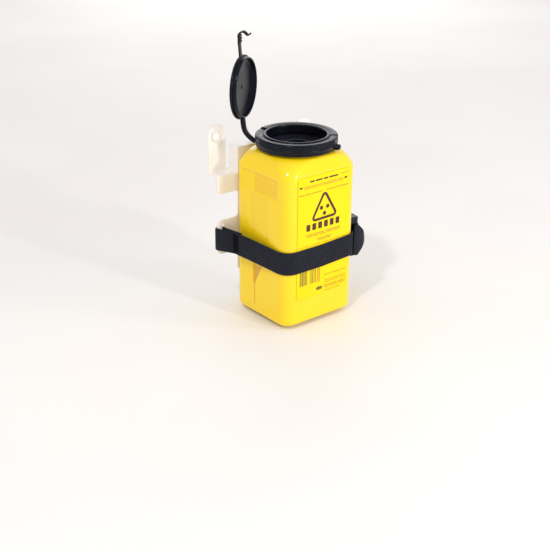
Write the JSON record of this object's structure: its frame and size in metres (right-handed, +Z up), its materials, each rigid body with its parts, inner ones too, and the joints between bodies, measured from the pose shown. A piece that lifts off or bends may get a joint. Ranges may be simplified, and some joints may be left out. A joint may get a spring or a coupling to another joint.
{
  "type": "wall-mounted sharps container",
  "caption": "Small square sharps-waste container with a collar and a tethered flip lid, strapped by webbing and a cam buckle to a folded sheet wall bracket.",
  "frame": {"origin": "on the wall plane, level with the left fixing screw and midway between the two ears", "axes": "+X along the wall to the viewer's right, -Y out from the wall towards the viewer, +Z up"},
  "size_m": [0.1452, 0.1076, 0.3059],
  "materials": {
    "cream_sheet": "satin powder coat",
    "cream_plastic": "smooth moulded plastic",
    "steel": "zinc plated",
    "yellow_plastic": "blow-moulded, soft sheen",
    "label_film": "printed film",
    "black_plastic": "moulded, soft sheen",
    "webbing": "ribbed woven webbing",
    "thread": "zigzag bar tack"
  },
  "bodies": {
    "bracket": {"bracket_plate": "cream_sheet", "fixing_screw_left": "steel", "fixing_screw_right": "steel", "cup_washer_left": "cream_plastic", "cup_washer_right": "cream_plastic", "screw_cap_left": "cream_plastic", "screw_cap_right": "cream_plastic", "long_strap": "webbing", "anchor_strap": "webbing", "bar_tack_left": "thread", "bar_tack_right": "thread", "buckle_frame": "black_plastic", "buckle_pin": "steel", "lever_spring": "steel"},
    "buckle_lever": {"buckle_lever": "black_plastic"},
    "container": {"container_shell": "yellow_plastic", "label_panel": "label_film", "collar_ring": "black_plastic", "mouth_insert": "black_plastic", "tether_root": "black_plastic"},
    "lid": {"lid_cap": "black_plastic", "tether_band": "black_plastic"},
    "latch_tail": {"latch_tail": "black_plastic"}
  },
  "joints": [
    {"name": "container_lift", "type": "slide", "parent": "bracket", "child": "container", "axis": [0, 0, 1], "range_m": [0, 0.21]},
    {"name": "lid_tether", "type": "hinge", "parent": "container", "child": "lid", "pos_m": [-0.0374, -0.0262, 0.0025], "axis": [0.7694, 0.6275, 0.1193], "range_deg": [0, 90.8]},
    {"name": "tail_flex", "type": "hinge", "parent": "lid", "child": "latch_tail", "pos_m": [-0.04437, -0.02249, 0.09823], "axis": [0.8405, 0.5313, 0.1062], "range_deg": [-25, 15], "stiffness_Nm_per_rad": 0.02},
    {"name": "lever_cam", "type": "hinge", "parent": "bracket", "child": "buckle_lever", "pos_m": [0.06046, -0.07139, -0.113], "axis": [0, 0, 1], "range_deg": [0, 65], "stiffness_Nm_per_rad": 0.05, "springref_deg": -28.65}
  ]
}
